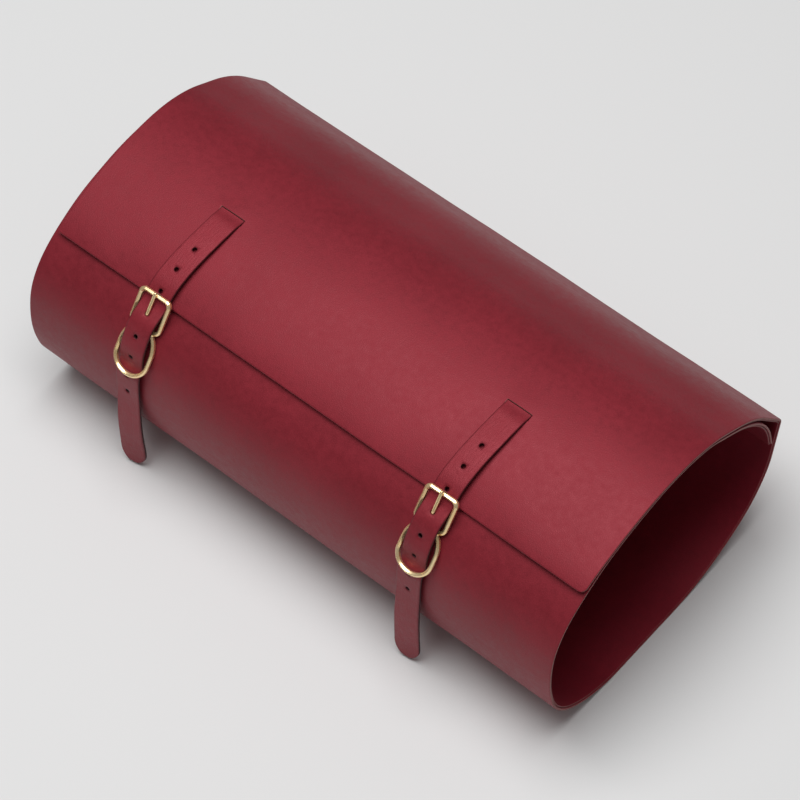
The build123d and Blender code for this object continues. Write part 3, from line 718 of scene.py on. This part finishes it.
def end_line(arc, side):
    """How far a raw end wanders from straight, as a knife cut does."""
    return side * (wave(0.11, arc, side * 3.0) * 0.7 + wave(0.02, arc, side * 7.0) * 0.12) * MM


def sheet_place(inner_offset, outer_offset, margin):
    half = HALF_LENGTH - margin

    def place(arc, x, lift):
        middle, thick = (inner_offset + outer_offset) / 2, (outer_offset - inner_offset) / 2
        side = 1.0 if x > 0 else -1.0
        near_end = smooth_step((abs(x) - (half - END_BAND)) / END_BAND)
        moved = x + end_line(arc, side) * near_end
        if side < 0:
            late = smooth_step((arc - EDGE_ARC + LEFT_DRAW_REACH) / LEFT_DRAW_REACH)
            moved += LEFT_DRAW * near_end * late
        along = arc
        if arc > EDGE_ARC - margin - EDGE_BAND:
            share = smooth_step((arc - (EDGE_ARC - margin - EDGE_BAND)) / EDGE_BAND)
            along = arc + (0.9 + 0.5 * wave(0.12, x, 9.0)) * MM * share
        # round the flap's two corners by drawing the sides in near the edge
        ahead = arc - (EDGE_ARC - margin - FLAP_CORNER)
        if ahead > 0:
            draw = FLAP_CORNER - math.sqrt(max(FLAP_CORNER ** 2 - min(ahead, FLAP_CORNER) ** 2, 0.0))
            inside = half - draw
            keep = half - FLAP_CORNER
            if abs(x) > keep:
                moved = side * (keep + (abs(moved) - keep) * (inside - keep) / (half - keep))
        out = middle + lift * thick + relief(along, moved) + edge_lift(along, moved) + lip(along, moved)
        return on_sheet(along, moved, out)

    return place


def curved_lines(first, last, extra=()):
    """Arc lengths close together where the sheet turns sharply and wider where it is flat."""
    lines, arc = [first], first
    marks = sorted(e for e in extra if first < e < last) + [last]
    for mark in marks:
        while arc < mark - 0.3 * MM:
            bend = max(abs(SHEET.curvature(arc)), abs(SHEET.curvature(min(arc + 1.5 * MM, last))))
            step = min(3.2 * MM, max(0.7 * MM, 0.09 / max(bend, 1e-6)))
            left = mark - arc
            arc = mark if left < 1.4 * step else arc + step
            lines.append(arc)
        if lines[-1] != mark:
            lines[-1 if mark - lines[-1] < 0.3 * MM and len(lines) > 1 else len(lines):] = [mark]
        arc = mark
    return lines


FINE = (0.12 * MM, 0.3 * MM, 0.6 * MM, 1.1 * MM)         # extra grid lines beside a cut edge
SLIT_BEYOND, SLIT_BEFORE, SLIT_FIT = 3.4 * MM, 0.6 * MM, 0.25 * MM
LINING_MARGIN = 0.6 * MM


def make_sheet(name, margin, inner_offset, outer_offset, node, face, rim, slits):
    last = EDGE_ARC - margin
    slit_far = SLIT_ARC + SLIT_BEYOND
    slit_near = SLIT_ARC - SLIT_BEFORE
    extra = [margin + f for f in FINE] + [last - f for f in FINE]
    extra += [slit_near - 1.0 * MM, slit_near - 0.35 * MM, slit_near, slit_far, slit_far + 0.4 * MM,
              last - FLAP_CORNER, last - FLAP_CORNER * 0.75, last - FLAP_CORNER * 0.5,
              last - FLAP_CORNER * 0.25]
    arcs = curved_lines(margin, last, extra)
    half = HALF_LENGTH - margin
    sides, cuts = [], []
    for side, centre in STRAPS.items():
        middle = centre + SLIT_SHIFT[side]
        reach = STRAP_WIDTH / 2 + SLIT_FIT
        cuts.append((middle - reach, middle + reach))
        sides += [middle - reach - 0.5 * MM, middle - reach, middle - reach + 0.5 * MM,
                  middle + reach - 0.5 * MM, middle + reach, middle + reach + 0.5 * MM]
    xs = spaced(-half, half, 3.4 * MM, extra=sides, fine_steps=FINE)

    def keep(arc, x):
        if not slits or not slit_near < arc < slit_far:
            return True
        return not any(a < x < b for a, b in cuts)

    def rounding(arc, x):
        from_edge = min(half - abs(x), arc - margin, last - arc)
        return edge_round(from_edge, 0.6 * MM, 0.55)

    plate = Plate(arcs, xs, sheet_place(inner_offset, outer_offset, margin), keep, rounding=rounding)
    obj = tidy_mesh(plate.build(name), [face, rim])
    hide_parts(node)
    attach(obj, "root")
    return obj


make_sheet("outer_skin", 0.0, -OUTER_PLY, 0.0, "outer_leather", hide, raw, True)
make_sheet("lining_skin", LINING_MARGIN, -LEATHER, -OUTER_PLY - GLUE_LINE, "lining_leather", inner,
           lining_raw, False)


# ------------------------------------------------------------------ straps, each one strip to its tip
TAIL_TOP = STRAP.length
STRAP_END = STRAP.length + TAIL_LENGTH
TIP_TAPER = 12 * MM
STRAP_SEED = {"left": 2.0, "right": 11.0}
TAIL_TWIST = {"left": -9.0, "right": -5.4}               # degrees at the tip
HOLE_STEP = 1.45 * MM
TIP_ANGLES = (0, 12, 24, 35, 45, 54, 62, 69, 75, 80, 84, 87, 89)     # rows of the round tip


def strap_lean(side, arc):
    """How far the strap has drifted sideways from the buckle's middle."""
    at_slit = 1.0 - smooth_step(arc / (56 * MM))
    hanging = smooth_step((arc - 92 * MM) / (40 * MM))
    return SLIT_SHIFT[side] * at_slit - 0.9 * MM * hanging


def strap_place(side):
    centre = STRAPS[side]
    half = STRAP_WIDTH / 2
    seed = STRAP_SEED[side]

    def place(arc, across, lift):
        width = half
        beyond = arc - (STRAP_END - TIP_TAPER)
        if beyond > 0:
            width = half * max(1.0 - (beyond / TIP_TAPER) ** 2.3, 0.0) ** 0.5
        flank = across / half * width
        thick = STRAP_THICK / 2 * (0.42 + 0.58 * smooth_step(arc / (7 * MM)))
        hang = smooth_step((arc - TAIL_TOP) / TAIL_LENGTH)
        # the band cups and ripples a little, more where it hangs free
        ripple = wave(0.030, arc, seed) * 0.28 * MM * smooth_step((arc - TAIL_TOP + 20 * MM) / (50 * MM))
        cup = (flank / half) ** 2 * (0.10 + 0.30 * hang) * MM
        sink = -1.15 * MM * (1.0 - smooth_step(arc / (9 * MM)))
        y, z = STRAP.point(arc, lift * thick + sink + ripple - cup)
        x = centre + strap_lean(side, arc) + flank
        x += wave(0.05, arc, seed + 5.0) * 0.12 * MM
        if hang > 0:
            turn = math.radians(TAIL_TWIST[side]) * hang
            y += -math.sin(turn) * flank
            x -= (1.0 - math.cos(turn)) * flank
            y += -1.2 * MM * math.sin(math.pi * hang) * smooth_step((arc - TAIL_TOP) / (15 * MM))
            x += 1.1 * MM * wave(0.07, arc, seed + 8.0) * hang
        if arc < 60 * MM:
            y_dir = STRAP.at(arc)[1]
            rise = relief(SLIT_ARC + arc, x) * (1.0 - smooth_step(arc / (60 * MM)))
            y, z = y + rise * math.sin(y_dir), z - rise * math.cos(y_dir)
        return Vector((x, y + SHIFT_Y, z + SHIFT_Z))

    return place


def make_strap(side):
    half = STRAP_WIDTH / 2
    holes = [(PRONG_HOLE + i * HOLE_PITCH, 0.0) for i in (-3, -2, -1, 1, 2, 3, 4)]
    extra = []
    for arc, _ in holes + [(PRONG_HOLE, 0.0)]:
        extra += [arc + k * HOLE_STEP for k in (-2, -1, 0, 1, 2)]
    tip = STRAP_END - TIP_TAPER
    tip_lines = [tip + TIP_TAPER * math.sin(math.radians(a)) for a in TIP_ANGLES]
    lines = spaced(0.0, tip, 1.7 * MM, extra=extra, fine_steps=(0.15 * MM, 0.5 * MM))
    arcs = sorted(set(round(a, 7) for a in lines + tip_lines)) + [STRAP_END]
    arcs = [a for a, b in zip(arcs, arcs[1:] + [1e9]) if b - a > 0.05 * MM]
    inside = [k * HOLE_STEP * 0.92 for k in (-2, -1, 0, 1, 2)]
    fine = (0.0, 0.14 * MM, 0.35 * MM, 0.75 * MM, 1.4 * MM)
    acrosses = sorted([-half + f for f in fine] + [half - f for f in fine] + inside
                      + [s * 4.6 * MM for s in (-1, 1)])

    def rounding(arc, across):
        from_edge = half - abs(across)
        if arc > STRAP_END - 2 * MM:
            from_edge = min(from_edge, STRAP_END - arc)
        return edge_round(from_edge, 0.75 * MM, 0.50)

    plate = Plate(arcs, acrosses, strap_place(side), holes=holes + [(PRONG_HOLE, 0.0)],
                  hole_radius=HOLE_RADIUS, rounding=rounding)
    obj = tidy_mesh(plate.build("strap_" + side + "_skin"), [strap_hide, burnished])
    mark_strap(obj, side)
    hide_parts("strap_" + side, "strap_tail_" + side)
    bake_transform(obj)
    return obj


def mark_strap(obj, side):
    """Burnish the strap's long edges and the rims of its holes."""
    half = STRAP_WIDTH / 2
    route = [STRAP.point(a) for a in np.linspace(0.0, STRAP_END, 900)]
    arcs = np.linspace(0.0, STRAP_END, 900)
    table = np.array(route) + np.array([SHIFT_Y, SHIFT_Z])
    holes = [PRONG_HOLE + i * HOLE_PITCH for i in (-3, -2, -1, 0, 1, 2, 3, 4)]
    values, places = [], []
    for v in obj.data.vertices:
        d = np.hypot(table[:, 0] - v.co.y, table[:, 1] - v.co.z)
        arc = float(arcs[int(np.argmin(d))])
        flank = v.co.x - STRAPS[side] - strap_lean(side, arc)
        width = half
        if arc > STRAP_END - TIP_TAPER:
            width = half * max(1.0 - ((arc - STRAP_END + TIP_TAPER) / TIP_TAPER) ** 2.3, 0.0) ** 0.5
        from_edge = width - abs(flank)
        rim = min(math.hypot(arc - h, flank) for h in holes) - HOLE_RADIUS
        near = min(max(from_edge, 0.0) / (1.5 * MM), max(rim, 0.0) / (0.9 * MM))
        values.append(1.0 - smooth_step(near))
        places.append((flank * 10.0, arc * 10.0))
    store(obj, "edge", values)
    layer = obj.data.uv_layers.new(name="UVMap")
    for loop in obj.data.loops:
        layer.data[loop.index].uv = places[loop.vertex_index]


# ------------------------------------------------------------------ the tabs that hold the buckles
def chape_route():
    mid = CHAPE_THICK / 2
    low, high = CHAPE_LIFT + mid, CHAPE_LIFT + 3 * mid + CHAPE_PLY_GAP
    reach = FOLD_RADIUS - mid
    end_arc, settle_arc = BAR_ARC + CHAPE_LENGTH, BAR_ARC + CHAPE_SETTLE
    going_up = [(length, -turn) for length, turn in SHEET.moves(BAR_ARC, end_arc, low)]
    settle, settled = SHEET.point(settle_arc, high), SHEET.at(settle_arc)[1]
    over_bar = local(0.0, BAR_HEIGHT + reach)
    lead = CHAPE_SETTLE * 0.4
    coming_down = Route.round_corners([
        over_bar,
        (over_bar[0] + lead * math.cos(DOWN_ANGLE), over_bar[1] + lead * math.sin(DOWN_ANGLE)),
        (settle[0] - lead * math.cos(settled), settle[1] - lead * math.sin(settled)), settle])
    moves = going_up[::-1] + [(math.pi * reach, math.pi)]
    moves += coming_down.moves(0.0, coming_down.length)
    moves += SHEET.moves(settle_arc, end_arc, high)
    return Route(SHEET.point(end_arc, low), SHEET.at(end_arc)[1] + math.pi, moves)


def make_chape(side):
    route = chape_route()
    centre = STRAPS[side]
    bar = in_frame(0.0, 0.0)
    slot_half, slot_reach = 1.85 * MM, 2.9 * MM

    def place(arc, across, lift):
        y, z = route.point(arc, lift * CHAPE_THICK / 2)
        return Vector((centre + across, y + SHIFT_Y, z + SHIFT_Z))

    to_rivet = CHAPE_LENGTH - RIVET_BELOW_BAR
    rivet_arcs = [(to_rivet, 0.0), (route.length - to_rivet, 0.0)]
    extra = [a + k * 0.8 * MM for a, _ in rivet_arcs for k in (-2, -1, 0, 1, 2)]
    arcs = spaced(0.0, route.length, 0.6 * MM, extra=extra, fine_steps=(0.1 * MM, 0.3 * MM))
    acrosses = sorted([s * (CHAPE_HALF - f) for s in (-1, 1) for f in (0.0, 0.12 * MM, 0.35 * MM)]
                      + [k * 0.8 * MM for k in (-2, -1, 0, 1, 2)]
                      + [s * v for s in (-1, 1) for v in (slot_half, 3.3 * MM)])

    def keep(arc, across):
        y, z = route.point(arc)
        up = -((y - bar[0]) * math.cos(DOWN_ANGLE) + (z - bar[1]) * math.sin(DOWN_ANGLE))
        return not (abs(across) < slot_half and up > -slot_reach)

    plate = Plate(arcs, acrosses, place, keep, holes=rivet_arcs, hole_radius=RIVET_HOLE,
                  rounding=lambda a, x: edge_round(min(CHAPE_HALF - abs(x), a, route.length - a),
                                                   0.35 * MM, 0.6))
    obj = tidy_mesh(plate.build("tab_" + side), [chape_hide, burnished])
    values = [1.0 - smooth_step((CHAPE_HALF - abs(v.co.x - centre)) / (1.0 * MM))
              for v in obj.data.vertices]
    store(obj, "edge", values)
    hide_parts("chape_" + side)
    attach(obj, "root")
    return obj


# ------------------------------------------------------------------ pockets and their stitching
POCKET_START = 262 * MM
POCKET_COUNT = 11
POCKET_WIDTH = 24 * MM
POCKET_LENGTH = 150 * MM
POCKET_LEFT = -HALF_LENGTH + 12 * MM
POCKET_FACE = -LEATHER - GLUE_LINE
SEAM_MARGIN = 2 * MM
STITCH_PITCH, STITCH_LENGTH, THREAD_RADIUS = 3.4 * MM, 2.7 * MM, 0.30 * MM
RING_SIDES = 8


def channel(arc, x):
    """How far a pocket swells off the lining: nothing at a seam, most in mid channel."""
    share = (arc - POCKET_START) / POCKET_WIDTH
    swell = math.sin(math.pi * (share - math.floor(share))) ** 0.8
    mouth = 0.55 + 0.45 * smooth_step((x - POCKET_LEFT) / (90 * MM))
    closed = smooth_step((x - POCKET_LEFT) / (14 * MM))
    return swell * mouth * closed * (1.5 + 0.35 * wave(0.05, arc, x)) * MM


def make_pockets():
    length = POCKET_COUNT * POCKET_WIDTH
    last = POCKET_START + length
    right = POCKET_LEFT + POCKET_LENGTH

    def place(arc, x, lift):
        mouth = smooth_step((x - (right - 20 * MM)) / (20 * MM))
        dip = math.sin(math.pi * (arc - POCKET_START) / POCKET_WIDTH) ** 2 * 1.4 * MM * mouth
        depth = POCKET_FACE - 0.5 * MM - channel(arc, x)
        return on_sheet(arc, x - dip, depth + relief(arc, x) + lift * 0.5 * MM)

    arcs = spaced(POCKET_START, last, 2.0 * MM, fine_steps=FINE,
                  extra=[POCKET_START + i * POCKET_WIDTH for i in range(1, POCKET_COUNT)])
    xs = spaced(POCKET_LEFT, right, 3.4 * MM, fine_steps=FINE)

    def rounding(arc, x):
        return edge_round(min(arc - POCKET_START, last - arc, x - POCKET_LEFT, right - x),
                          0.4 * MM, 0.6)

    plate = Plate(arcs, xs, place, rounding=rounding)
    obj = tidy_mesh(plate.build("pocket_skin"), [pocket_hide, lining_raw])
    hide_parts("pocket_panel")
    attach(obj, "root")
    return obj


def make_stitches():
    """Rows of short rounded stitches that dip into the pocket leather at each end."""
    verts, faces = [], []
    last = POCKET_START + POCKET_COUNT * POCKET_WIDTH
    for row in range(POCKET_COUNT + 1):
        arc = POCKET_START + row * POCKET_WIDTH
        arc = min(max(arc, POCKET_START + SEAM_MARGIN), last - SEAM_MARGIN)
        count = int((POCKET_LENGTH - 6 * MM) / STITCH_PITCH)
        for i in range(count):
            x0 = POCKET_LEFT + 3 * MM + i * STITCH_PITCH
            rings = []
            for share in (0.0, 0.12, 0.35, 0.65, 0.88, 1.0):
                rise = math.sin(math.pi * share)
                thick = THREAD_RADIUS * (0.45 + 0.55 * min(rise * 1.6, 1.0))
                x = x0 + STITCH_LENGTH * share
                depth = (POCKET_FACE - 1.0 * MM - channel(arc, x) + relief(arc, x)
                         - THREAD_RADIUS * (0.1 + 0.75 * rise))
                ring = []
                for k in range(RING_SIDES):
                    a = 2 * math.pi * k / RING_SIDES
                    ring.append(len(verts))
                    verts.append(on_sheet(arc + thick * math.cos(a), x, depth + thick * math.sin(a)))
                rings.append(ring)
            for one, two in zip(rings[:-1], rings[1:]):
                for k in range(RING_SIDES):
                    m = (k + 1) % RING_SIDES
                    faces.append([one[k], one[m], two[m], two[k]])
            faces.append(rings[0][::-1])
            faces.append(rings[-1])
    mesh = bpy.data.meshes.new("pocket_thread")
    mesh.from_pydata([tuple(v) for v in verts], [], faces)
    mesh.polygons.foreach_set("use_smooth", [True] * len(faces))
    obj = bpy.data.objects.new("pocket_thread", mesh)
    bpy.context.scene.collection.objects.link(obj)
    tidy_mesh(obj, [stitch])
    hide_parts("pocket_stitching")
    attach(obj, "root")
    return obj


for side in ("left", "right"):
    make_strap(side)
    make_chape(side)
make_pockets()
make_stitches()

# ------------------------------------------------------------------ metal carried over from CAD
for name, node in bpy.data.objects.items():
    if name.split("_left")[0].split("_right")[0] in ("buckle_frame", "centre_bar", "prong",
                                                     "chape_rivet"):
        node.data.materials.clear()
        node.data.materials.append(gilt)

# ------------------------------------------------------------------ floor, light and camera
floor_mesh = bpy.data.meshes.new("floor")
floor_mesh.from_pydata([(-6, -6, 0), (6, -6, 0), (6, 6, 0), (-6, 6, 0)], [], [(0, 1, 2, 3)])
floor = bpy.data.objects.new("floor", floor_mesh)
bpy.context.scene.collection.objects.link(floor)
paper, _, paper_shader = new_material("pale_paper")
paper_shader.inputs["Base Color"].default_value = (0.74, 0.74, 0.74, 1.0)
paper_shader.inputs["Roughness"].default_value = 0.9
paper_shader.inputs["Specular IOR Level"].default_value = 0.1
floor_mesh.materials.append(paper)
floor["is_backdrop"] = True


KEY_PLACE, KEY_TARGET = Vector((-0.16, -0.22, 2.25)), Vector((0.0, 0.0, 0.06))
KEY_SIDE, KEY_WATTS = 1.5, 49.0
SKY = 0.19
CAMERA_PLACE, CAMERA_TARGET = Vector((0.76488, -0.94063, 1.78775)), Vector((0.0128, -0.0152, 0.0770))
CAMERA_LENS, CAMERA_TILT, CAMERA_SHIFT = 174.41, 0.689, 0.0025     # mm, degrees, share of a frame


lamp = bpy.data.lights.new("key", "AREA")
lamp.shape = "RECTANGLE"
lamp.size = lamp.size_y = KEY_SIDE
lamp.energy = KEY_WATTS
key = bpy.data.objects.new("key", lamp)
key.location = KEY_PLACE
key.rotation_euler = (KEY_TARGET - KEY_PLACE).to_track_quat("-Z", "Y").to_euler()
bpy.context.scene.collection.objects.link(key)

world = bpy.data.worlds.new("studio")
world.use_nodes = True
world.node_tree.nodes["Background"].inputs[0].default_value = (1.0, 1.0, 1.0, 1.0)
world.node_tree.nodes["Background"].inputs[1].default_value = SKY
bpy.context.scene.world = world

camera_data = bpy.data.cameras.new("camera")
camera_data.lens = CAMERA_LENS
camera_data.shift_x = camera_data.shift_y = CAMERA_SHIFT
camera_data.sensor_width = 36.0
camera = bpy.data.objects.new("camera", camera_data)
camera.location = CAMERA_PLACE
aimed = (CAMERA_TARGET - CAMERA_PLACE).to_track_quat("-Z", "Y")
camera.rotation_euler = (aimed @ Quaternion((0, 0, 1), math.radians(CAMERA_TILT))).to_euler()
bpy.context.scene.collection.objects.link(camera)
bpy.context.scene.camera = camera
bpy.context.scene.view_settings.view_transform = "Standard"

# ------------------------------------------------------------------ sizes: the bounds of everything but the backdrop
low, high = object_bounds()
